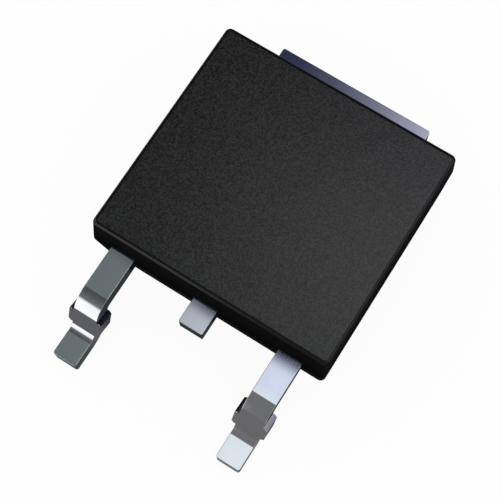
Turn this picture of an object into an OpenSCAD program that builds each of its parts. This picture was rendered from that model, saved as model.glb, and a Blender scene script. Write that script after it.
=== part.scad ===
// Power transistor in a surface-mount moulded package with a soldered metal tab.
// Millimetres. The origin is on the board, under the centre of the moulded body.
// +Z is up, the three leads leave towards -Y and the metal tab towards +Y.

/* [Leadframe] */
// Thickness of the stamped copper sheet
sheet_t = 0.46; // [0.44:0.01:0.5]
// Distance between neighbouring leads, centre to centre
lead_pitch = 2.286; // [2.27:0.001:2.3]
// Width of each lead outside the body
lead_w = 0.64; // [0.6:0.01:0.7]
// Height of the leads' upper face above the board
lead_top = 1.6; // [1.55:0.01:1.65]

/* [Outer leads] */
// From the body's centre to where a lead starts to bend down
bend_start = 4.12; // [4.05:0.01:4.2]
// Inner radius of the upper bend
upper_bend_r = 0.12; // [0.1:0.01:0.15]
// Angle of the leg below level
leg_angle = 71.5; // [68:0.5:75]
// Inner radius of the lower bend
lower_bend_r = 0.2; // [0.15:0.01:0.22]
// From the body's centre to the tip of the foot
foot_reach = 5.72; // [5.6:0.01:5.8]
// Width across the two stubs that the trimmed tie bar leaves on a leg
ear_span = 0.88; // [0.8:0.01:0.95]
// Length of those stubs along the leg
ear_len = 0.57; // [0.5:0.01:0.58]
// Distance of the stubs from the upper bend
ear_gap = 0.02; // [0:0.01:0.03]
// Corner cut of the stubs
ear_cut = 0.06; // [0.03:0.01:0.08]
// Radius of the upright corners at the tip of the foot
foot_corner_r = 0.06; // [0.03:0.01:0.1]

/* [Bond posts] */
// From the body's centre to the inner end of both posts
post_back = 1.8; // [1.75:0.01:1.85]
// Length of a post along the lead
post_len = 0.84; // [0.8:0.01:0.88]
// Width of the gate post
gate_post_w = 1.2; // [1:0.05:1.3]
// Width of the source post
source_post_w = 1.9; // [1.8:0.05:1.95]
// From the package's middle plane to the outer side of both posts
post_outer = 2.86; // [2.8:0.01:2.9]
// Radius of the notch that locks a post in the moulding
post_notch_r = 0.14; // [0.1:0.01:0.16]

/* [Tab and paddle] */
// Width of the tab, and of the metal that shows underneath
tab_w = 4.3; // [4.2:0.01:4.35]
// From the body's centre to the end of the tab
tab_reach = 3.93; // [3.85:0.01:4]
// Radius of the upright corners at the end of the tab
tab_corner_r = 0.07; // [0.03:0.01:0.12]
// Width of the paddle inside the body
paddle_w = 4.9; // [4.7:0.05:5]
// From the body's centre to the paddle's front edge
paddle_front = 1.4; // [1.35:0.01:1.45]
// From the body's centre to the paddle's shoulders
paddle_back = 2.45; // [2.3:0.01:2.5]
// Height of the coined step under the paddle's long sides
lip_rise = 0.2; // [0.15:0.01:0.25]
// Depth of the groove across the paddle's top
groove_d = 0.1; // [0.05:0.01:0.12]
// Width of that groove
groove_w = 0.22; // [0.15:0.01:0.25]
// From the body's centre to that groove
groove_y = 2.15; // [2.1:0.01:2.2]

/* [Middle lead] */
// From the body's centre to the cut end of the middle lead
stub_reach = 3.68; // [3.6:0.01:3.75]
// Angle of the ramp that carries the middle lead up from the paddle
ramp_angle = 55; // [50:1:60]
// Inner radius of the ramp's two bends
ramp_bend_r = 0.15; // [0.12:0.01:0.18]
// Width of the ramp
ramp_w = 0.9; // [0.7:0.05:1]
// How far the full width of the ramp runs into the paddle
ramp_root = 0.5; // [0.4:0.05:0.6]
// Distance from the ramp's second bend to the shoulders where it narrows to the lead
ramp_shoulder = 0.1; // [0.05:0.01:0.15]

/* [Moulded body] */
// Height of the body's top above the board
body_top = 2.3; // [2.25:0.01:2.39]
// Height of the body's underside above the board
body_lift = 0.03; // [0.02:0.01:0.05]
// Width of the body at its top
top_w = 6.32; // [6.25:0.01:6.36]
// Width of the body at the mould's parting line
waist_w = 6.39; // [6.37:0.01:6.5]
// Width of the body at its underside
bottom_w = 6.29; // [6.2:0.01:6.36]
// Length of the body at its top
top_l = 5.85; // [5.75:0.01:5.95]
// Length of the body at the mould's parting line
waist_l = 6.09; // [6.05:0.01:6.2]
// Length of the body at its underside
bottom_l = 5.71; // [5.65:0.01:5.85]
// Radius of the body's upright corners
corner_r = 0.14; // [0.1:0.01:0.2]
// Radius of the edge around the body's top
rim_r = 0.1; // [0.06:0.01:0.14]

/* [Silicon die] */
// Width of the die
die_w = 3; // [2.9:0.05:3.1]
// Length of the die
die_l = 2.6; // [2.5:0.05:2.7]
// Thickness of the die
die_t = 0.25; // [0.2:0.01:0.28]
// From the body's centre to the die's centre, towards the tab
die_y = 0.4; // [0.35:0.01:0.45]
// Thickness of the metal contacts on the die
contact_t = 0.02; // [0.01:0.01:0.03]
// Bare strip around the contacts
contact_margin = 0.15; // [0.1:0.01:0.2]
// Side of the square gate contact
gate_contact = 0.6; // [0.55:0.01:0.65]
// Thickness of the solder under the die
solder_t = 0.04; // [0.03:0.01:0.06]
// How far the solder shows around the die
solder_rim = 0.06; // [0.04:0.01:0.1]

/* [Bond wires] */
// Radius of the gate wire
gate_wire_r = 0.075; // [0.06:0.005:0.08]
// Radius of each source wire
source_wire_r = 0.15; // [0.13:0.005:0.15]
// Distance between the source wires
source_wire_gap = 0.9; // [0.8:0.01:0.95]
// Radius of a wire's arch, as a share of its span
arch_share = 0.71; // [0.68:0.01:0.75]
// Length of a wire's flattened end, in wire radii
bond_len = 3.4; // [3:0.1:3.6]
// Width of a wire's flattened end, in wire radii
bond_w = 2.5; // [2.3:0.1:2.7]
// Height of a wire's flattened end, in wire radii
bond_h = 1.1; // [1:0.1:1.3]

/* [Hidden] */
$fn = 64;
waist_z = lead_top - sheet_t / 2;
lead_low = lead_top - sheet_t;
post_front = post_back + post_len;
post_y = -(post_back + post_len / 2);
gate_post_x = -(post_outer - gate_post_w / 2);
source_post_x = post_outer - source_post_w / 2;
solder_top = sheet_t + solder_t;
die_top = solder_top + die_t;
contact_top = die_top + contact_t;
die_left = -die_w / 2 + contact_margin;
die_right = die_w / 2 - contact_margin;
die_front = die_y - die_l / 2 + contact_margin;
die_rear = die_y + die_l / 2 - contact_margin;
source_left = die_left + gate_contact + contact_margin;
leg_len = (lead_low - (sheet_t + upper_bend_r + lower_bend_r) * (1 - cos(leg_angle))) / sin(leg_angle);
foot_len = foot_reach - bend_start - leg_len * cos(leg_angle)
    - (sheet_t + upper_bend_r + lower_bend_r) * sin(leg_angle);
ramp_len = (lead_low - (sheet_t + 2 * ramp_bend_r) * (1 - cos(ramp_angle))) / sin(ramp_angle);
ramp_run = ramp_len * cos(ramp_angle) + (sheet_t + 2 * ramp_bend_r) * sin(ramp_angle);
slack = 0.5;
far = 20;
copper = [0.78, 0.79, 0.8];
tin = [0.72, 0.74, 0.78];
aluminium = [0.85, 0.85, 0.87];

// Part of a ring that starts on +Y and turns clockwise by the angle.
// The wedge reaches a power of ten, so rounding leaves its last edge in line with a run rotated by the angle.
module ring_slice(inner_r, outer_r, angle) {
    reach = 10;
    difference() {
        intersection() {
            circle(outer_r);
            polygon([
                [0, 0],
                [0, reach],
                [reach * sin(angle / 2), reach * cos(angle / 2)],
                [reach * sin(angle), reach * cos(angle)]
            ]);
        }
        circle(inner_r);
    }
}

// Side view of a bent strip that runs along +X with its upper face on Y = 0.
// Each step is a length, a turn in degrees (downwards is positive) and the turn's inner radius.
module strip(steps, i = 0) {
    if (i < len(steps)) {
        run = steps[i][0];
        turn = steps[i][1];
        inner_r = steps[i][2];
        outer_r = inner_r + sheet_t;
        translate([0, -sheet_t])
            square([run, sheet_t]);
        translate([run, 0]) {
            if (turn > 0) {
                translate([0, -outer_r])
                    ring_slice(inner_r, outer_r, turn);
                translate([0, -outer_r])
                    rotate(-turn)
                        translate([0, outer_r])
                            strip(steps, i + 1);
            }
            if (turn < 0) {
                translate([0, inner_r])
                    mirror([0, 1])
                        ring_slice(inner_r, outer_r, -turn);
                translate([0, inner_r])
                    rotate(-turn)
                        translate([0, -inner_r])
                            strip(steps, i + 1);
            }
        }
    }
}

// The strip as a solid that runs towards -Y from the given place
module bent_strip(steps, y, z, w) {
    translate([w / 2, y, z])
        rotate([90, 0, -90])
            linear_extrude(w)
                strip(steps);
}

// What lies outside a rounded edge from p to q between two faces with these outward normals.
// The rounding meets each face at a slight angle instead of touching it.
module edge_waste(p, q, n1, n2, r) {
    blend = 0.992;
    side = 4 * r;
    along = (q - p) / norm(q - p);
    across = cross(along, n1);
    meet = n1 * n2;
    turn = sign(n2 * across) * sqrt(1 - meet * meet);
    axis_p = p - (n1 + n2) * blend * r / (1 + meet);
    length = norm(q - p) + 2 * slack;
    multmatrix([
        [n1[0], across[0], along[0], axis_p[0]],
        [n1[1], across[1], along[1], axis_p[1]],
        [n1[2], across[2], along[2], axis_p[2]],
        [0, 0, 0, 1]
    ])
        translate([0, 0, -slack])
            difference() {
                linear_extrude(length)
                    polygon([[0, 0], [side, 0], [side * (1 + meet), side * turn], [side * meet, side * turn]]);
                cylinder(h = length, r = r);
            }
}

// The same for both upright corners at the end of a strip on the board; s is the end's side along Y
module corner_waste(w, y, s, r) {
    for (sx = [-1, 1])
        edge_waste([sx * w / 2, y, 0], [sx * w / 2, y, sheet_t], [sx, 0, 0], [0, s, 0], r);
}

// Half sizes of the body at one of its three levels
function level(w, l, z) = [w / 2, l / 2, z];
function unit(v) = v / norm(v);
top_level = level(top_w, top_l, body_top);
waist_level = level(waist_w, waist_l, waist_z);
bottom_level = level(bottom_w, bottom_l, body_lift);

// Outward normal of the side wall between two levels, lower one first; i picks X or Y
function wall(a, b, i) = unit(i == 0 ? [b[2] - a[2], 0, a[0] - b[0]] : [0, b[2] - a[2], a[1] - b[1]]);
function put(v, sx, sy) = [sx * v[0], sy * v[1], v[2]];

module side_profile(i) {
    levels = [bottom_level, waist_level, top_level];
    linear_extrude(far, center = true)
        polygon(concat(
            [for (k = [0:2]) [levels[k][i], levels[k][2]]],
            [for (k = [2:-1:0]) [-levels[k][i], levels[k][2]]]
        ));
}

module body_block() {
    difference() {
        intersection() {
            rotate([90, 0, 0])
                side_profile(0);
            rotate([90, 0, 90])
                side_profile(1);
        }
        for (sx = [-1, 1], sy = [-1, 1]) {
            edge_waste(
                put(waist_level, sx, sy), put(top_level, sx, sy),
                put(wall(waist_level, top_level, 0), sx, sy), put(wall(waist_level, top_level, 1), sx, sy), corner_r
            );
            edge_waste(
                put(bottom_level, sx, sy), put(waist_level, sx, sy),
                put(wall(bottom_level, waist_level, 0), sx, sy), put(wall(bottom_level, waist_level, 1), sx, sy), corner_r
            );
        }
        for (s = [-1, 1]) {
            edge_waste(
                put(top_level, s, -1), put(top_level, s, 1),
                put(wall(waist_level, top_level, 0), s, 1), [0, 0, 1], rim_r
            );
            edge_waste(
                put(top_level, -1, s), put(top_level, 1, s),
                put(wall(waist_level, top_level, 1), 1, s), [0, 0, 1], rim_r
            );
        }
    }
}

module moulded_body() {
    color([0.13, 0.13, 0.14])
        difference() {
            body_block();
            heat_spreader();
            gate_lead();
            source_lead();
            die_solder();
            silicon_die();
            gate_wire();
            source_wire_inner();
            source_wire_outer();
        }
}

// One stamped piece: the tab, the paddle under the die, the ramp and the cut middle lead
module heat_spreader() {
    ramp_steps = [
        [ramp_root, -ramp_angle, ramp_bend_r],
        [ramp_len, ramp_angle, ramp_bend_r],
        [stub_reach - paddle_front - ramp_run, 0, 0]
    ];
    color(tin)
        difference() {
            union() {
                translate([-tab_w / 2, -paddle_front, 0])
                    cube([tab_w, tab_reach + paddle_front, sheet_t]);
                translate([-paddle_w / 2, -paddle_front, lip_rise])
                    cube([paddle_w, paddle_back + paddle_front, sheet_t - lip_rise]);
                difference() {
                    bent_strip(ramp_steps, -paddle_front + ramp_root, sheet_t, ramp_w);
                    for (side = [0, 1])
                        mirror([side, 0, 0])
                            translate([lead_w / 2, -paddle_front - ramp_run - ramp_shoulder - far, -slack])
                                cube([ramp_w, far, far]);
                }
            }
            translate([-paddle_w, groove_y, sheet_t])
                rotate([90, 0, 90])
                    linear_extrude(2 * paddle_w)
                        polygon([[-groove_w / 2, 0], [groove_w / 2, 0], [0, -groove_d]]);
            corner_waste(tab_w, tab_reach, 1, tab_corner_r);
        }
}

// An outer lead on the middle plane: gull-wing strip with the stubs of the trimmed tie bar on its leg
module gull_wing() {
    start = -post_front + slack;
    steps = [
        [bend_start + start, leg_angle, upper_bend_r],
        [leg_len, -leg_angle, lower_bend_r],
        [foot_len, 0, 0]
    ];
    outer_r = upper_bend_r + sheet_t;
    difference() {
        bent_strip(steps, start, lead_top, lead_w);
        corner_waste(lead_w, -foot_reach, -1, foot_corner_r);
    }
    intersection() {
        bent_strip(steps, start, lead_top, ear_span);
        translate([0, -bend_start, lead_top - outer_r])
            rotate([leg_angle, 0, 0])
                translate([0, -ear_gap, 0])
                    linear_extrude(2 * outer_r)
                        polygon([
                            [-ear_span / 2, -ear_cut],
                            [-ear_span / 2 + ear_cut, 0],
                            [ear_span / 2 - ear_cut, 0],
                            [ear_span / 2, -ear_cut],
                            [ear_span / 2, -ear_len + ear_cut],
                            [ear_span / 2 - ear_cut, -ear_len],
                            [-ear_span / 2 + ear_cut, -ear_len],
                            [-ear_span / 2, -ear_len + ear_cut]
                        ]);
    }
}

// The wide inner end of an outer lead, with a notch on its outer side
module bond_post(x, w, side) {
    difference() {
        translate([x - w / 2, -post_front, lead_low])
            cube([w, post_len, sheet_t]);
        translate([x + side * w / 2, post_y, lead_low - slack])
            cylinder(h = sheet_t + 2 * slack, r = post_notch_r);
    }
}

module gate_lead() {
    color(tin) {
        translate([-lead_pitch, 0, 0])
            gull_wing();
        bond_post(gate_post_x, gate_post_w, -1);
    }
}

module source_lead() {
    color(tin) {
        translate([lead_pitch, 0, 0])
            gull_wing();
        bond_post(source_post_x, source_post_w, 1);
    }
}

module die_solder() {
    color(copper)
        translate([-die_w / 2 - solder_rim, die_y - die_l / 2 - solder_rim, sheet_t])
            cube([die_w + 2 * solder_rim, die_l + 2 * solder_rim, solder_t]);
}

// The die with its two raised contacts
module silicon_die() {
    color([0.35, 0.37, 0.42]) {
        translate([-die_w / 2, die_y - die_l / 2, solder_top])
            cube([die_w, die_l, die_t]);
        translate([die_left, die_front, die_top])
            cube([gate_contact, gate_contact, contact_t]);
        translate([source_left, die_front, die_top])
            cube([die_right - source_left, die_rear - die_front, contact_t]);
    }
}

// A wire from a post's top at p to a contact at q, with both ends pressed flat.
// Seen from the side it is one circular arch, drawn in a frame with X along the wire from p.
module bond_wire(p, q, r) {
    span = norm(q - p);
    heading = atan2(q[1] - p[1], q[0] - p[0]);
    drop = lead_top - contact_top;
    chord = norm([span, drop]);
    arch_r = arch_share * chord;
    sag = sqrt(arch_r * arch_r - chord * chord / 4);
    cx = span / 2 - sag * drop / chord;
    cz = -drop / 2 - sag * span / chord;
    // how far each end of the arch runs on below its landing
    over = atan(3.2 * r / arch_r);
    first = atan2(-cz, -cx) + over;
    last = atan2(-drop - cz, span - cx) - over;
    foot = [bond_len * r, bond_w * r, bond_h * r];
    translate([p[0], p[1], lead_top])
        rotate(heading)
            difference() {
                union() {
                    translate([cx, 0, cz])
                        rotate([90, 0, 0])
                            rotate(last)
                                rotate_extrude(angle = first - last)
                                    translate([arch_r, 0])
                                        circle(r);
                    translate([-foot[0] * 0.7, -foot[1] / 2, 0])
                        cube(foot);
                    translate([span - foot[0] * 0.3, -foot[1] / 2, -drop])
                        cube(foot);
                }
                translate([-far, -far / 2, -far])
                    cube([far + span * 0.2, far, far]);
                translate([span * 0.75, -far / 2, -drop - far])
                    cube([far, far, far]);
            }
}

module gate_wire() {
    color(aluminium)
        bond_wire(
            [gate_post_x + gate_post_w / 4, post_y],
            [die_left + gate_contact / 2, die_front + gate_contact / 2],
            gate_wire_r
        );
}

// A source wire, moved sideways from the middle of its post and contact
module source_wire(shift) {
    color(aluminium)
        bond_wire(
            [source_post_x + shift, post_y],
            [(source_left + die_right) / 2 + shift, die_y],
            source_wire_r
        );
}

module source_wire_inner() {
    source_wire(-source_wire_gap / 2);
}

module source_wire_outer() {
    source_wire(source_wire_gap / 2);
}

moulded_body();
heat_spreader();
gate_lead();
source_lead();
silicon_die();
die_solder();
gate_wire();
source_wire_inner();
source_wire_outer();
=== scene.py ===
"""Looks of a power transistor in a flat moulded package, around its packed construction.

Every length below is in millimetres until metres() turns a finished mesh into the frame's metres.
+Z is up from the board, the leads leave towards -Y and the metal tab towards +Y.
"""

import math

import bmesh
import bpy
import numpy as np
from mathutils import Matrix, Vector


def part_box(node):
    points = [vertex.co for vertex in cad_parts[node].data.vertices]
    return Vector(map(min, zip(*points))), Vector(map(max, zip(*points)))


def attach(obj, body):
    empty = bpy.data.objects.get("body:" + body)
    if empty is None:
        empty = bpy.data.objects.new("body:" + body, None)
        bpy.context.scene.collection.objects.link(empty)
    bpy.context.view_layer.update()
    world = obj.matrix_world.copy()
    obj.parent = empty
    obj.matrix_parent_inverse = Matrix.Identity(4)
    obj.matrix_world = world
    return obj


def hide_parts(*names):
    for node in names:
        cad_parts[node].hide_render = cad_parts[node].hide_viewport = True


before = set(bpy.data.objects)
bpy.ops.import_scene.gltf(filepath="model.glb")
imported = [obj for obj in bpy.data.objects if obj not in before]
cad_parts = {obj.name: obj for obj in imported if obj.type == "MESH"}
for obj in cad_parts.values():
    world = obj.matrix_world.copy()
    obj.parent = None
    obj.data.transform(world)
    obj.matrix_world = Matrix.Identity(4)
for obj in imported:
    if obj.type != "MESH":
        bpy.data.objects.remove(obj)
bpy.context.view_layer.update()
MM = 0.001


def node_box(node):
    """Lowest and highest corner of a node, in millimetres."""
    low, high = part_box(node)
    return np.array(low) / MM, np.array(high) / MM


# Read from the frame
BODY_LOW, BODY_HIGH = node_box("moulded_body")
GATE_LOW, GATE_HIGH = node_box("gate_lead")
SOURCE_LOW, SOURCE_HIGH = node_box("source_lead")
METAL_LOW, METAL_HIGH = node_box("heat_spreader")
DIE_TOP = node_box("silicon_die")[1][2]

# Leadframe
SHEET = 0.46
LEAD_WIDTH = 0.64
LEAD_TOP = GATE_HIGH[2]
LEAD_PITCH = 2.286

# Radius of the sheet's long edges, of the edges at its tips and of those at the tab's back
SHEAR_EDGE = 0.01
TIP_EDGE = 0.006
TAB_EDGE = 0.03

# Outer leads. Formed bends come out larger than the drawing's 0.12 and 0.20 mm. The bend's start
# and the stubs' distance from it are set so that legs and stubs keep their place.
BEND_START = 4.1056
UPPER_BEND = 0.14
LEG_ANGLE = math.radians(71.5)
LOWER_BEND = 0.24
FOOT_REACH = -GATE_LOW[1]
FOOT_CORNER = 0.06

# Stubs that the trimmed tie bar leaves on both sides of a leg
EAR_SPAN = 0.88
EAR_LENGTH = 0.57
EAR_GAP = 0.0056
EAR_CUT = 0.06

# Bond posts
POST_BACK = -GATE_HIGH[1]
POST_LENGTH = 0.84
POST_NOTCH = 0.14

# Tab, paddle, ramp and middle lead
TAB_WIDTH = 4.3
TAB_CORNER = 0.07
PADDLE_WIDTH = METAL_HIGH[0] - METAL_LOW[0]
PADDLE_FRONT = 1.4
PADDLE_BACK = 2.45
LIP_RISE = 0.2
GROOVE_DEPTH = 0.1
GROOVE_WIDTH = 0.22
GROOVE_Y = 2.15
RAMP_ANGLE = math.radians(55)
RAMP_BEND = 0.15
RAMP_WIDTH = 0.9
RAMP_SHOULDER = 0.1
STUB_CORNER = 0.03

# Rows through a quarter circle of a section, through a tip and through a post's notch, and the
# longest strip along a bend
SECTION_ROWS = 5
TIP_ROWS = 17
NOTCH_ROWS = 17
FILLET_STRIP = 0.012
BEND_STRIP = 0.02
HIDDEN_STRIP = 0.04

# Moulded body
TOP_SIZE = (6.32, 5.85)
WAIST_SIZE = (BODY_HIGH[0] - BODY_LOW[0], BODY_HIGH[1] - BODY_LOW[1])
BOTTOM_SIZE = (6.29, 5.71)
WAIST_Z = LEAD_TOP - SHEET / 2
BODY_CORNER = 0.14
RIM = 0.1
RIM_ROWS = 13
# the upright corners lose this share of the rim's inset from their radius
TIGHTENING = 0.8
LOW_EDGE = 0.03
LOW_EDGE_ROWS = 5
CREASE = 0.015
CORNER_STEPS = 10
# a flat strip inside the edge of the top and of the underside
TOP_BORDER = 0.04
LOW_BORDER = 0.1

# Faces that meet at less than this angle are shaded as one surface
SMOOTH_TURN = math.radians(35)

# Camera: place in millimetres, turn round Z and height above the horizon in degrees
CAMERA_PLACE = (4.546, -8.307, 29.035)
CAMERA_TURN = 32.279
CAMERA_HEIGHT = 73.363
CAMERA_LENS = 88.58
SENSOR_WIDTH = 36

# Studio, in metres
TENT_RADIUS = 1.0
MAT_HALF = 1.0
MAT_LEVEL = -0.00001
FLOOR_HALF = 3.0
FLOOR_LEVEL = -0.00002
FLOOR_GLOW = 0.93


def mesh_object(name, vertices, faces):
    """A new mesh object with these vertices and faces, standing at the origin."""
    mesh = bpy.data.meshes.new(name)
    mesh.from_pydata(vertices, [], faces)
    piece = bpy.data.objects.new(name, mesh)
    bpy.context.scene.collection.objects.link(piece)
    return piece


def weld(vertices, faces):
    """Vertices at the same place become one.

    A face keeps only its different corners, and goes if fewer than three are left.
    """
    _, first, place = np.unique(
        np.round(vertices, 6), axis=0, return_index=True, return_inverse=True
    )
    place = place.reshape(-1)
    kept = []
    for face in place[faces]:
        corners = [a for a, b in zip(face, np.roll(face, 1)) if a != b]
        if len(set(corners)) > 2:
            kept.append(corners)
    return vertices[first], kept


def shade(mesh):
    """Smooth shading that keeps flat faces flat.

    At each corner the normal is the sum of the normals of the faces round its vertex that turn by
    less than the smooth turn from its own face, each times its area squared, so a wide face
    outweighs the narrow strips beside it.
    """
    corners = len(mesh.loops)
    vertex = np.empty(corners, np.int32)
    mesh.loops.foreach_get("vertex_index", vertex)
    count = len(mesh.polygons)
    normal = np.empty(count * 3)
    mesh.polygons.foreach_get("normal", normal)
    normal = normal.reshape(-1, 3)
    area = np.empty(count)
    mesh.polygons.foreach_get("area", area)
    total = np.empty(count, np.int32)
    mesh.polygons.foreach_get("loop_total", total)
    face = np.repeat(np.arange(count), total)
    # one row per vertex with the corners that meet there, filled up with -1
    order = np.argsort(vertex, kind="stable")
    first = np.searchsorted(vertex[order], np.arange(len(mesh.vertices)))
    place = np.arange(corners) - first[vertex[order]]
    meeting = np.full((len(mesh.vertices), place.max() + 1), -1)
    meeting[vertex[order], place] = order
    round_it = meeting[vertex]
    there = round_it >= 0
    other = face[round_it]
    turn = np.einsum("cj,ckj->ck", normal[face], normal[other])
    near = there & (turn > math.cos(SMOOTH_TURN))
    weight = np.where(near, (area[other] / area.max()) ** 2, 0)
    summed = np.einsum("ck,ckj->cj", weight, normal[other])
    length = np.linalg.norm(summed, axis=1, keepdims=True)
    summed = np.where(length > 0, summed / np.maximum(length, 1e-30), [0, 0, 1])
    mesh.shade_smooth()
    mesh.normals_split_custom_set(summed)


def metres(piece):
    """The finished millimetre mesh in the frame's metres."""
    mesh = piece.data
    shade(mesh)
    place = np.empty(len(mesh.vertices) * 3, np.float32)
    mesh.vertices.foreach_get("co", place)
    mesh.vertices.foreach_set("co", place * MM)
    mesh.update()
    return piece


def bent(steps, start_y, start_z):
    """A path on a sheet's upper face that runs towards -Y: straight lengths joined by arcs.

    Each step is a length, a turn downwards (negative is upwards) and the turn's inner radius. The
    function that comes back turns arrays of run and depth below the upper face into Y and Z: on an
    arc the point lies on a circle round the bend's centre, elsewhere on the straight line.
    """
    spans = []
    place = np.array([start_y, start_z], float)
    heading = 0.0
    run = 0.0
    for length, turn, inner in steps:
        spans.append((run, "line", place.copy(), heading, 0, 0))
        along = np.array([-math.cos(heading), -math.sin(heading)])
        place = place + along * length
        run += length
        if turn:
            side = math.copysign(1, turn)
            # the upper face is the outer one in a downward bend
            radius = inner + SHEET if turn > 0 else inner
            down = np.array([math.sin(heading), -math.cos(heading)])
            centre = place + side * radius * down
            spans.append((run, "arc", centre, heading, side, radius))
            heading += turn
            down = np.array([math.sin(heading), -math.cos(heading)])
            place = centre - side * radius * down
            run += radius * abs(turn)
    ends = [span[0] for span in spans[1:]] + [math.inf]

    def bend(s, depth):
        y = np.zeros_like(s)
        z = np.zeros_like(s)
        for (begin, kind, spot, turned, side, radius), end in zip(spans, ends):
            here = (s >= begin - 1e-9) & (s < end - 1e-9)
            if kind == "line":
                t = s[here] - begin
                down = (math.sin(turned), -math.cos(turned))
                y[here] = spot[0] - math.cos(turned) * t + down[0] * depth[here]
                z[here] = spot[1] - math.sin(turned) * t + down[1] * depth[here]
            else:
                angle = turned + side * (s[here] - begin) / radius
                out = radius - side * depth[here]
                y[here] = spot[0] - side * out * np.sin(angle)
                z[here] = spot[1] + side * out * np.cos(angle)
        return y, z

    return bend


def draw_back(along, radius):
    """How far a rounded edge draws back at a distance from the end: radius less circle's height."""
    t = max(0, 1 - along / radius)
    return radius * (1 - math.sqrt(1 - t * t))


def sheet_piece(name, rows, lines, bend, centre_x=0.0, lip=None):
    """A stamped and bent sheet: one cross-section per row, carried along the bent path.

    A row is the run, the left and right side and how far the upper and the lower face lie inside
    the sheet's thickness. The section is a rectangle whose corners are quarter circles of the
    sheared edge's radius, with an inner point wherever a line of the list lies between the sides,
    so neighbours share their edges. Beyond the lip's half width the lower face lies higher by its
    rise.
    """
    runs, left, right, sunk, raised = np.array(rows, float).T
    r = SHEAR_EDGE
    turn = np.linspace(0, math.pi / 2, SECTION_ROWS)
    near, away = r * np.cos(turn), r * np.sin(turn)
    inner_left, inner_right = (left + r)[:, None], (right - r)[:, None]
    across = np.clip(np.array(lines)[None, :], inner_left, inner_right)
    upper = sunk[:, None] + r
    deepest = (SHEET - raised)[:, None]
    if lip is None:
        steps = across[:, :0]
        outer = deepest
    else:
        half, rise = lip
        steps = np.clip([[half, half]], inner_left, inner_right)
        outer = np.where((right > half + 1e-9)[:, None], deepest - rise, deepest)
    lower = outer - r
    level = np.ones_like(across)
    step_depth = np.concatenate([outer, deepest], axis=1)[:, : steps.shape[1]]
    x = np.concatenate([
        inner_left - near, across, inner_right + away, inner_right + near, steps, across[:, ::-1],
        -steps[:, ::-1], inner_left - away,
    ], axis=1)
    depth = np.concatenate([
        upper - away, level * (upper - r), upper - near, lower + away, step_depth, level * deepest,
        step_depth[:, ::-1], lower + near,
    ], axis=1)
    s = np.broadcast_to(runs[:, None], x.shape)
    y, z = bend(s.ravel(), depth.ravel())
    vertices = np.stack([x.ravel() + centre_x, y, z], axis=1)
    count, width = x.shape
    row, column = np.meshgrid(np.arange(count - 1), np.arange(width), indexing="ij")
    here = row * width + column
    beside = row * width + (column + 1) % width
    quads = np.stack([here, beside, beside + width, here + width], axis=-1).reshape(-1, 4)
    vertices, faces = weld(vertices, quads)
    piece = mesh_object(name, vertices, faces)
    close_ends(piece)
    return metres(piece)


def close_ends(piece):
    """Each open loop of edges gets one flat face, and faces without area go."""
    shape = bmesh.new()
    shape.from_mesh(piece.data)
    bmesh.ops.holes_fill(shape, edges=[e for e in shape.edges if e.is_boundary])
    bmesh.ops.dissolve_degenerate(shape, dist=1e-5, edges=shape.edges)
    bmesh.ops.recalc_face_normals(shape, faces=shape.faces)
    shape.to_mesh(piece.data)
    shape.free()


def arc_rows(begin, end, step, half):
    """Rows through a bend, one for each step of the run."""
    count = max(2, math.ceil((end - begin) / step))
    return [(s, -half, half, 0, 0) for s in np.linspace(begin, end, count + 1)[1:]]


def end_rows(end, towards, half, corner, edge):
    """Rows at a sheet's end, from the full width outwards: rounded corners and rounded edges."""
    rows = []
    for angle in np.linspace(0, math.pi / 2, TIP_ROWS):
        along = max(corner, edge) * (1 - math.sin(angle))
        side = half - draw_back(along, corner)
        inset = draw_back(along, edge)
        rows.append((end - towards * along, -side, side, inset, inset))
    return rows


def outer_lead(name, x, left, right, notch_side):
    """An outer lead: notched bond post, level run, bend, leg with its stubs, bend, foot."""
    outer = UPPER_BEND + SHEET
    both = outer + LOWER_BEND
    drop = LEAD_TOP - SHEET
    leg = (drop - both * (1 - math.cos(LEG_ANGLE))) / math.sin(LEG_ANGLE)
    foot = FOOT_REACH - BEND_START - leg * math.cos(LEG_ANGLE) - both * math.sin(LEG_ANGLE)
    level = BEND_START - POST_BACK
    steps = [(level, LEG_ANGLE, UPPER_BEND), (leg, -LEG_ANGLE, LOWER_BEND), (foot, 0, 0)]
    bend = bent(steps, -POST_BACK, LEAD_TOP)
    half = LEAD_WIDTH / 2
    middle = POST_LENGTH / 2
    rows = [(0, left, right, 0, 0)]
    for angle in np.linspace(-math.pi / 2, math.pi / 2, NOTCH_ROWS):
        bite = POST_NOTCH * math.cos(angle)
        sides = (left + bite, right) if notch_side < 0 else (left, right - bite)
        rows.append((middle + POST_NOTCH * math.sin(angle), *sides, 0, 0))
    rows += [
        (POST_LENGTH, left, right, 0, 0), (POST_LENGTH, -half, half, 0, 0),
        (level, -half, half, 0, 0),
    ]
    bent_end = level + outer * LEG_ANGLE
    rows += arc_rows(level, bent_end, BEND_STRIP, half)
    ear = bent_end + EAR_GAP
    ear_half = EAR_SPAN / 2
    inner = ear_half - EAR_CUT
    rows += [
        (ear, -half, half, 0, 0), (ear, -inner, inner, 0, 0),
        (ear + EAR_CUT, -ear_half, ear_half, 0, 0),
        (ear + EAR_LENGTH - EAR_CUT, -ear_half, ear_half, 0, 0),
        (ear + EAR_LENGTH, -inner, inner, 0, 0), (ear + EAR_LENGTH, -half, half, 0, 0),
        (bent_end + leg, -half, half, 0, 0),
    ]
    foot_start = bent_end + leg + LOWER_BEND * LEG_ANGLE
    rows += arc_rows(bent_end + leg, foot_start, FILLET_STRIP, half)
    rows += end_rows(foot_start + foot, 1, half, FOOT_CORNER, TIP_EDGE)
    edge = half - SHEAR_EDGE
    return sheet_piece(name, rows, [-edge, edge], bend, centre_x=x)


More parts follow.
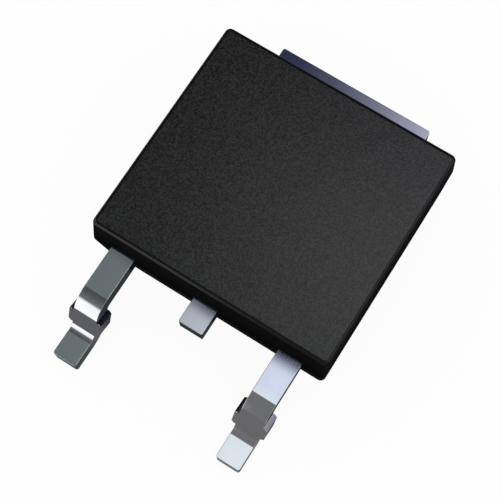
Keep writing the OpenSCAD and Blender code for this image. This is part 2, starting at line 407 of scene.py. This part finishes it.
def heat_spreader(name):
    """Tab, paddle with groove and coined lips, ramp and cut middle lead, as one bent sheet."""
    reach = METAL_HIGH[1]
    drop = LEAD_TOP - SHEET
    both = SHEET + 2 * RAMP_BEND
    ramp = (drop - both * (1 - math.cos(RAMP_ANGLE))) / math.sin(RAMP_ANGLE)
    span = ramp * math.cos(RAMP_ANGLE) + both * math.sin(RAMP_ANGLE)
    level = reach + PADDLE_FRONT
    stub = -METAL_LOW[1] - PADDLE_FRONT - span
    steps = [(level, -RAMP_ANGLE, RAMP_BEND), (ramp, RAMP_ANGLE, RAMP_BEND), (stub, 0, 0)]
    bend = bent(steps, reach, SHEET)
    tab = TAB_WIDTH / 2
    paddle = PADDLE_WIDTH / 2
    wide = RAMP_WIDTH / 2
    narrow = LEAD_WIDTH / 2
    rows = end_rows(0, -1, tab, TAB_CORNER, TAB_EDGE)[::-1]
    groove = reach - GROOVE_Y
    rows += [
        (reach - PADDLE_BACK, -tab, tab, 0, 0), (reach - PADDLE_BACK, -paddle, paddle, 0, 0),
        (groove - GROOVE_WIDTH / 2, -paddle, paddle, 0, 0),
        (groove, -paddle, paddle, GROOVE_DEPTH, 0),
        (groove + GROOVE_WIDTH / 2, -paddle, paddle, 0, 0), (level, -paddle, paddle, 0, 0),
        (level, -wide, wide, 0, 0),
    ]
    first = level + RAMP_BEND * RAMP_ANGLE
    rows += arc_rows(level, first, BEND_STRIP, wide)
    second = first + ramp
    rows.append((second, -wide, wide, 0, 0))
    top = second + (SHEET + RAMP_BEND) * RAMP_ANGLE
    rows += arc_rows(second, top, HIDDEN_STRIP, wide)
    shoulder = top + RAMP_SHOULDER
    rows += [(shoulder, -wide, wide, 0, 0), (shoulder, -narrow, narrow, 0, 0)]
    rows += end_rows(top + stub, 1, narrow, STUB_CORNER, TIP_EDGE)
    edges = np.array([narrow, wide, tab]) - SHEAR_EDGE
    return sheet_piece(name, rows, [*-edges[::-1], *edges], bend, lip=(tab, LIP_RISE))


def moulded_skin(name):
    """The drafted block: rounded rectangles stacked from the underside over the waist to the top.

    Each ring is a rectangle with quarter circles at its corners. Over the rim the ring's half sizes
    shrink by the radius times one less the cosine while its height rises by the radius times the
    sine, and its corners tighten by a share of that shrinking.
    """
    quarter = np.linspace(0, math.pi / 2, CORNER_STEPS + 1)
    angles = np.concatenate([quarter + k * math.pi / 2 for k in range(4)])
    quadrant = np.repeat(np.arange(4), CORNER_STEPS + 1)
    sx = np.where((quadrant == 0) | (quadrant == 3), 1, -1)
    sy = np.where(quadrant < 2, 1, -1)

    def ring(size, z, inset, radius):
        half_x = size[0] / 2 - inset
        half_y = size[1] / 2 - inset
        x = sx * (half_x - radius) + radius * np.cos(angles)
        y = sy * (half_y - radius) + radius * np.sin(angles)
        return np.stack([x, y, np.full_like(x, z)], axis=1)

    bottom_z, top_z = BODY_LOW[2], BODY_HIGH[2]

    def size_at(z):
        """Outer size between the waist and the top at this height."""
        share = (z - WAIST_Z) / (top_z - WAIST_Z)
        return [w + (t - w) * share for w, t in zip(WAIST_SIZE, TOP_SIZE)]

    rings = []
    for angle in np.linspace(0, math.pi / 2, LOW_EDGE_ROWS):
        z = bottom_z + LOW_EDGE * (1 - math.sin(angle))
        rings.append(ring(BOTTOM_SIZE, z, LOW_EDGE * (1 - math.cos(angle)), BODY_CORNER))
    rings = rings[::-1]
    rings.insert(0, ring(BOTTOM_SIZE, bottom_z, LOW_EDGE + LOW_BORDER, BODY_CORNER - LOW_BORDER))
    share = CREASE / (WAIST_Z - bottom_z - LOW_EDGE)
    below = [w + (b - w) * share for w, b in zip(WAIST_SIZE, BOTTOM_SIZE)]
    rings += [
        ring(below, WAIST_Z - CREASE, 0, BODY_CORNER), ring(WAIST_SIZE, WAIST_Z, 0, BODY_CORNER),
        ring(size_at(WAIST_Z + CREASE), WAIST_Z + CREASE, 0, BODY_CORNER),
    ]
    for angle in np.linspace(0, math.pi / 2, RIM_ROWS):
        z = top_z - RIM * (1 - math.sin(angle))
        inset = RIM * (1 - math.cos(angle))
        rings.append(ring(size_at(z), z, inset, BODY_CORNER - TIGHTENING * inset))
    top_corner = BODY_CORNER - TIGHTENING * RIM
    rings.append(ring(TOP_SIZE, top_z, RIM + TOP_BORDER, top_corner - TOP_BORDER))
    vertices = np.concatenate(rings)
    count = len(angles)
    row, column = np.meshgrid(np.arange(len(rings) - 1), np.arange(count), indexing="ij")
    here = row * count + column
    beside = row * count + (column + 1) % count
    faces = np.stack([here, beside, beside + count, here + count], axis=-1).reshape(-1, 4).tolist()
    faces.append(list(range(count))[::-1])
    faces.append(list(range(len(vertices) - count, len(vertices))))
    return metres(mesh_object(name, vertices, faces))


class Wire:
    """One value of a shader. Sums and products of wires and numbers add their Math nodes."""

    def __init__(self, graph, socket):
        self.graph = graph
        self.socket = socket

    def math(self, operation, first, second=0.0):
        return self.graph.add("Math", {"operation": operation}, {0: first, 1: second})

    def __add__(self, other):
        return self.math("ADD", self, other)

    def __radd__(self, other):
        return self.math("ADD", other, self)

    def __sub__(self, other):
        return self.math("SUBTRACT", self, other)

    def __rsub__(self, other):
        return self.math("SUBTRACT", other, self)

    def __mul__(self, other):
        return self.math("MULTIPLY", self, other)

    def __rmul__(self, other):
        return self.math("MULTIPLY", other, self)

    def without_sign(self):
        return self.math("ABSOLUTE", self)

    def ramp(self, low, high, start=0.0, end=1.0):
        """Smooth step from start to end as the value goes from low to high."""
        return self.graph.add(
            "MapRange", {"interpolation_type": "SMOOTHSTEP"},
            {"Value": self, "From Min": low, "From Max": high, "To Min": start, "To Max": end}
        )

    def line(self, low, high):
        """Even rise from 0 to 1 as the value goes from low to high."""
        return self.graph.add(
            "MapRange", {}, {"Value": self, "From Min": low, "From Max": high}
        )


class Graph:
    """The nodes of one finish."""

    def __init__(self, tree):
        self.tree = tree
        tree.nodes.clear()

    def add(self, kind, settings=None, inputs=None, output=0):
        node = self.tree.nodes.new("ShaderNode" + kind)
        for key, value in (settings or {}).items():
            setattr(node, key, value)
        for key, value in (inputs or {}).items():
            if isinstance(value, Wire):
                self.tree.links.new(value.socket, node.inputs[key])
            else:
                node.inputs[key].default_value = value
        return Wire(self, node.outputs[output]) if node.outputs else None

    def millimetres(self):
        """Object coordinates in millimetres."""
        place = self.add("TexCoord", output="Object")
        return self.add("VectorMath", {"operation": "SCALE"}, {0: place, "Scale": 1 / MM})

    def split(self, vector):
        """The three parts of a vector."""
        first = self.add("SeparateXYZ", inputs={0: vector})
        outputs = first.socket.node.outputs
        return [Wire(self, out) for out in outputs]

    def noise(self, place, scale, detail=2.0, roughness=0.5):
        """Fractal noise with this many waves per millimetre."""
        return self.add(
            "TexNoise", {},
            {"Vector": place, "Scale": scale, "Detail": detail, "Roughness": roughness}
        )

    def blend(self, share, first, second):
        """A colour between two colours."""
        return self.add(
            "Mix", {"data_type": "RGBA"}, {"Factor": share, 6: first, 7: second}, output=2
        )


def finish(name):
    """A new material and its graph."""
    material = bpy.data.materials.new(name)
    material.use_nodes = True
    return material, Graph(material.node_tree)


def end_with(graph, shader):
    graph.add("OutputMaterial", inputs={"Surface": shader})


def moulding_compound():
    """Black compound: a finely grained satin top, a smooth rim and dull sides, with painted shade
    on the sides above the parting line.
    """
    material, graph = finish("moulding_compound")
    place = graph.millimetres()
    x, y, z = graph.split(place)
    top = BODY_HIGH[2]
    flat_top = z.ramp(top - 0.0012, top - 0.0002)

    # satin: the spark-eroded grain lies on the flat top, and the rim is smooth
    grain = graph.noise(place, 22.0, 2.0, 0.7)
    pit, crest = (0.0022, 0.0022, 0.0022, 1), (0.022, 0.022, 0.022, 1)
    grained = graph.blend(grain.ramp(0.3, 0.7), pit, crest)
    bump = graph.add(
        "Bump", {}, {"Strength": 1.0, "Distance": 0.0000015, "Height": grain * flat_top}
    )
    satin = graph.add(
        "BsdfPrincipled", {},
        {"Base Color": graph.blend(flat_top, (0.004, 0.004, 0.004, 1), grained),
         "Roughness": flat_top.ramp(0, 1, 0.1, 0.2), "IOR": 1.45, "Normal": bump}
    )

    # dull: the compound is dark grey below the parting line; above it the sides carry painted
    # shade, darkest just above the line and lighter towards the rim
    above_waist = z.ramp(WAIST_Z - 0.02, WAIST_Z - 0.005)
    near_rim = z.ramp(WAIST_Z, top - RIM * 3)
    upper_side_shade = graph.blend(near_rim, (0.0008, 0.0008, 0.001, 1), (0.003, 0.003, 0.0035, 1))
    dull = graph.add(
        "BsdfPrincipled", {},
        {"Base Color": graph.blend(above_waist, (0.009, 0.009, 0.0095, 1), upper_side_shade),
         "Roughness": 0.5, "IOR": 1.45, "Specular IOR Level": 0.06}
    )

    # the satin covers most of the front rim and the inner part of the side rims, and no back rim
    front = z.ramp(top - RIM * 0.78, top - RIM * 0.38)
    beside = z.ramp(top - RIM * 0.33, top - RIM * 0.24)
    side_rim = TOP_SIZE[0] / 2 - RIM
    at_side = x.without_sign().ramp(side_rim, side_rim + 0.02)
    back_rim = TOP_SIZE[1] / 2 - RIM
    polished = (front + (beside - front) * at_side) * y.ramp(back_rim + 0.02, back_rim)
    end_with(graph, graph.add("MixShader", {}, {0: polished, 1: dull, 2: satin}))
    return material


def tin_plate():
    """Bright tin on the leadframe, with a faint cloud and a fine unevenness."""
    material, graph = finish("tin_plate")
    place = graph.millimetres()
    cloud = graph.noise(place, 1.6, 3.0)
    fine = graph.noise(place, 30.0, 2.0)
    base = graph.blend(cloud.ramp(0.35, 0.65), (0.83, 0.84, 0.85, 1), (0.87, 0.87, 0.88, 1))
    rough = cloud.ramp(0.3, 0.7, 0.03, 0.04)
    bump = graph.add("Bump", {}, {"Strength": 0.5, "Distance": 0.00000006, "Height": fine})
    shader = graph.add(
        "BsdfPrincipled", {},
        {"Base Color": base, "Metallic": 1.0, "Roughness": rough, "Normal": bump}
    )
    end_with(graph, shader)
    return material


def plain_metal(name, colour, rough):
    """A dull or drawn metal of one of the inner pieces, with a faint cloud in its tone."""
    material, graph = finish(name)
    cloud = graph.noise(graph.millimetres(), 6.0, 2.0)
    darker = tuple(0.85 * c for c in colour) + (1,)
    base = graph.blend(cloud.ramp(0.3, 0.7), darker, (*colour, 1))
    shader = graph.add(
        "BsdfPrincipled", {}, {"Base Color": base, "Metallic": 1.0, "Roughness": rough}
    )
    end_with(graph, shader)
    return material


def silicon():
    """Polished grey die, with bright contacts where the surface stands above its top."""
    material, graph = finish("silicon")
    place = graph.millimetres()
    x, y, z = graph.split(place)
    contact = z.ramp(DIE_TOP - 0.015, DIE_TOP - 0.01)
    base = graph.blend(contact, (0.2, 0.21, 0.25, 1), (0.85, 0.84, 0.8, 1))
    shader = graph.add(
        "BsdfPrincipled", {},
        {"Base Color": base, "Metallic": 1.0, "Roughness": contact.ramp(0, 1, 0.12, 0.35)}
    )
    end_with(graph, shader)
    return material


def dress(piece, material):
    piece.data.materials.clear()
    piece.data.materials.append(material)


def dress_node(node, material):
    """A node's object takes the material in each of its slots."""
    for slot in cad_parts[node].material_slots:
        slot.link = "OBJECT"
        slot.material = material


def camera():
    data = bpy.data.cameras.new("camera")
    data.lens = CAMERA_LENS
    data.sensor_width = SENSOR_WIDTH
    data.clip_start = 0.0005
    data.clip_end = 2
    seen_from = bpy.data.objects.new("camera", data)
    seen_from.location = Vector(CAMERA_PLACE) * MM
    tilt, turn = math.radians(90 - CAMERA_HEIGHT), math.radians(CAMERA_TURN)
    seen_from.rotation_euler = (tilt, 0, turn)
    bpy.context.scene.collection.objects.link(seen_from)
    bpy.context.scene.camera = seen_from


def panel(piece, paint):
    """A studio panel that only reflections see."""
    piece.visible_camera = False
    piece.visible_diffuse = False
    piece.visible_transmission = False
    piece.visible_shadow = False
    dress(piece, paint)


def glowing(name, paint):
    """A material that shines with the colour that paint makes from the three coordinates."""
    material, graph = finish(name)
    place = graph.add("TexCoord", output="Object")
    colour = paint(graph, *graph.split(place))
    end_with(graph, graph.add("Emission", {}, {"Color": colour, "Strength": 1.0}))
    return material


def tent_paint(graph, x, y, z):
    """Reflections from above the horizon.

    x, y and z are the reflection's direction, because the tent's radius is one.
    """
    # strip in front of the zenith, for the level runs, the middle lead and the feet
    left = (0.15, 0.18, 0.185, 1)
    middle = (0.47, 0.51, 0.545, 1)
    right = graph.blend(y.ramp(0.144, 0.154), (0.83, 0.9, 0.955, 1), (0.74, 0.805, 0.975, 1))
    front = graph.blend(x.line(-0.226, -0.168), left, middle)
    front = graph.blend(x.line(-0.17, -0.08), front, right)
    # strip that the body's top and the tab show
    strong = graph.blend(y.line(0.34, 0.2), (1.42, 1.42, 1.42, 1), (1.7, 1.7, 1.7, 1))
    main = graph.blend(x.line(-0.25, -0.06), (0.066, 0.066, 0.066, 1), strong)
    rise = x.line(-0.22, 0.0)
    back = graph.blend(rise * rise, (0.022, 0.029, 0.065, 1), (0.93, 0.94, 1.19, 1))
    far = graph.blend(y.ramp(0.345, 0.383), main, back)
    ceiling = graph.blend(y.ramp(0.186, 0.2), front, far)
    # dark band between both strips, for the roots of the leads: painted shade of the body, seen in
    # their reflections
    root_shade = y.ramp(0.17, 0.1845) * y.ramp(0.199, 0.194) * x.line(-0.3, -0.15)
    ceiling = graph.blend(root_shade, ceiling, (0.012, 0.016, 0.04, 1))
    # towards the back, the left and the right
    high = graph.blend(x.ramp(-0.095, -0.07), (0.008, 0.005, 0.024, 1), (0.3, 0.3, 0.38, 1))
    ceiling = graph.blend(y.ramp(0.5, 0.66), ceiling, high)
    ceiling = graph.blend(x.ramp(-0.3, -0.45), ceiling, (0.03, 0.032, 0.04, 1))
    side = graph.blend(x.ramp(0.65, 0.9), (0.36, 0.37, 0.39, 1), (0.75, 0.77, 0.8, 1))
    ceiling = graph.blend(x.ramp(0.25, 0.5), ceiling, side)
    # the half in front of the leads: a bright window low at the left, grey elsewhere
    dim = graph.blend(z.line(1.0, 0.75), (0.058, 0.064, 0.066, 1), (0.155, 0.155, 0.16, 1))
    window = graph.blend(z.ramp(0.68, 0.44), dim, (1.17, 1.17, 1.2, 1))
    fore = graph.blend(x.line(-0.25, -0.08), window, (0.175, 0.175, 0.178, 1))
    fore = graph.blend(x.ramp(0.35, 0.6), fore, (0.4, 0.41, 0.43, 1))
    return graph.blend(y.ramp(0.035, 0.06), fore, ceiling)


def mat_paint(graph, x, y, z):
    """Reflections from below the horizon; x and y are places on the floor."""
    # in front of the left lead: dark, then the legs' grey, then the bright window
    dark = graph.blend(
        y.ramp(-0.00292, -0.00306), (0.007, 0.007, 0.011, 1), (0.034, 0.037, 0.039, 1)
    )
    legs = y.ramp(-0.0042, -0.0048)
    outside = y.ramp(-0.0047, -0.0052) * x.ramp(-0.00199, -0.00196)
    grey = graph.blend(outside, (0.122, 0.126, 0.133, 1), (0.062, 0.064, 0.065, 1))
    left = graph.blend(legs, dark, grey)
    left = graph.blend(y.ramp(-0.0063, -0.0068), left, (1.17, 1.17, 1.2, 1))
    # in front of the right lead the grey goes on; the two part along the camera's line of sight
    right = graph.blend(legs, dark, (0.155, 0.155, 0.16, 1))
    front = graph.blend((x - y * 0.17).ramp(-0.0004, 0.0018), left, right)
    # light under the body and the tab, dark for the tab's right corner
    below = y.ramp(-0.0026, -0.0023) * x.ramp(0.00305, 0.0028)
    under = graph.blend(below, front, (0.72, 0.73, 0.75, 1))
    corner = y.ramp(0.0028, 0.0029) * y.ramp(0.0042, 0.004) * x.ramp(0.00212, 0.00216)
    under = graph.blend(corner, under, (0.02, 0.02, 0.03, 1))
    # light to the right of the body, lilac grey farther out
    beside = graph.blend(x.ramp(0.0105, 0.0135), (0.85, 0.85, 0.87, 1), (0.25, 0.25, 0.31, 1))
    return graph.blend(x.ramp(0.0042, 0.006), under, beside)


def dome(name, radius):
    """A half sphere: rings of radius times cosine of their height angle, at radius times sine."""
    around, rings = 64, 17
    turn = np.linspace(0, 2 * math.pi, around + 1)[:-1]
    climb = np.linspace(-0.02, math.pi / 2, rings)[:, None]
    x = radius * np.cos(climb) * np.cos(turn)
    y = radius * np.cos(climb) * np.sin(turn)
    z = radius * np.sin(climb) * np.ones_like(turn)
    vertices = np.stack([x, y, z], axis=-1).reshape(-1, 3)
    row, column = np.meshgrid(np.arange(rings - 1), np.arange(around), indexing="ij")
    here = row * around + column
    beside = row * around + (column + 1) % around
    faces = np.stack([here, beside, beside + around, here + around], axis=-1).reshape(-1, 4)
    return mesh_object(name, *weld(vertices, faces))


def square(name, half, z):
    """A flat square on the level z, in metres."""
    corners = [(-half, -half, z), (half, -half, z), (half, half, z), (-half, half, z)]
    return mesh_object(name, corners, [(0, 1, 2, 3)])


def studio():
    """White surroundings over a pale floor.

    A tent above and a mat below, which only reflections see, give the metal its light and dark
    panels. The floor shines white to the camera and to reflections, and is clear from underneath.
    """
    world = bpy.data.worlds.new("studio")
    bpy.context.scene.world = world
    world.use_nodes = True
    graph = Graph(world.node_tree)
    shader = graph.add("Background", {}, {"Color": (1, 1, 1, 1), "Strength": 1.0})
    graph.add("OutputWorld", inputs={"Surface": shader})

    panel(dome("tent", TENT_RADIUS), glowing("tent_paint", tent_paint))
    panel(square("mat", MAT_HALF, MAT_LEVEL), glowing("mat_paint", mat_paint))

    floor = square("floor", FLOOR_HALF, FLOOR_LEVEL)
    material, graph = finish("floor_paint")
    path = graph.add("LightPath").socket.node.outputs
    seen = Wire(graph, path["Is Camera Ray"]) + Wire(graph, path["Is Glossy Ray"])
    seen = seen + Wire(graph, path["Is Transmission Ray"])
    matte = graph.add("BsdfDiffuse", {}, {"Color": (0.9, 0.9, 0.9, 1)})
    glow = graph.add("Emission", {}, {"Color": (1, 1, 1, 1), "Strength": 1.0})
    lit = graph.add("MixShader", {}, {0: seen * FLOOR_GLOW, 1: matte, 2: glow})
    underneath = graph.add("NewGeometry", output="Backfacing")
    clear = graph.add("BsdfTransparent")
    end_with(graph, graph.add("MixShader", {}, {0: underneath, 1: lit, 2: clear}))
    dress(floor, material)


def build():
    """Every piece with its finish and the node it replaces."""
    skin = moulded_skin("moulded_skin")
    dress(skin, moulding_compound())
    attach(skin, "root")
    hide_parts("moulded_body")

    metal = tin_plate()
    tab = heat_spreader("tab_and_paddle")
    gate = outer_lead(
        "gate_lead_sheet", -LEAD_PITCH, GATE_LOW[0] + LEAD_PITCH, GATE_HIGH[0] + LEAD_PITCH, -1
    )
    source = outer_lead(
        "source_lead_sheet", LEAD_PITCH, SOURCE_LOW[0] - LEAD_PITCH, SOURCE_HIGH[0] - LEAD_PITCH, 1
    )
    sheets = ((tab, "heat_spreader"), (gate, "gate_lead"), (source, "source_lead"))
    for piece, node in sheets:
        dress(piece, metal)
        # the plated sheet mirrors only its surroundings, never its own bends
        piece.visible_glossy = False
        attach(piece, "root")
        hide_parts(node)

    wire = plain_metal("bond_wire", (0.86, 0.86, 0.87), 0.3)
    for node in ("gate_wire", "source_wire_inner", "source_wire_outer"):
        dress_node(node, wire)
    dress_node("die_solder", plain_metal("solder", (0.55, 0.56, 0.58), 0.45))
    dress_node("silicon_die", silicon())


bpy.context.scene.view_settings.view_transform = "Standard"
camera()
studio()
build()
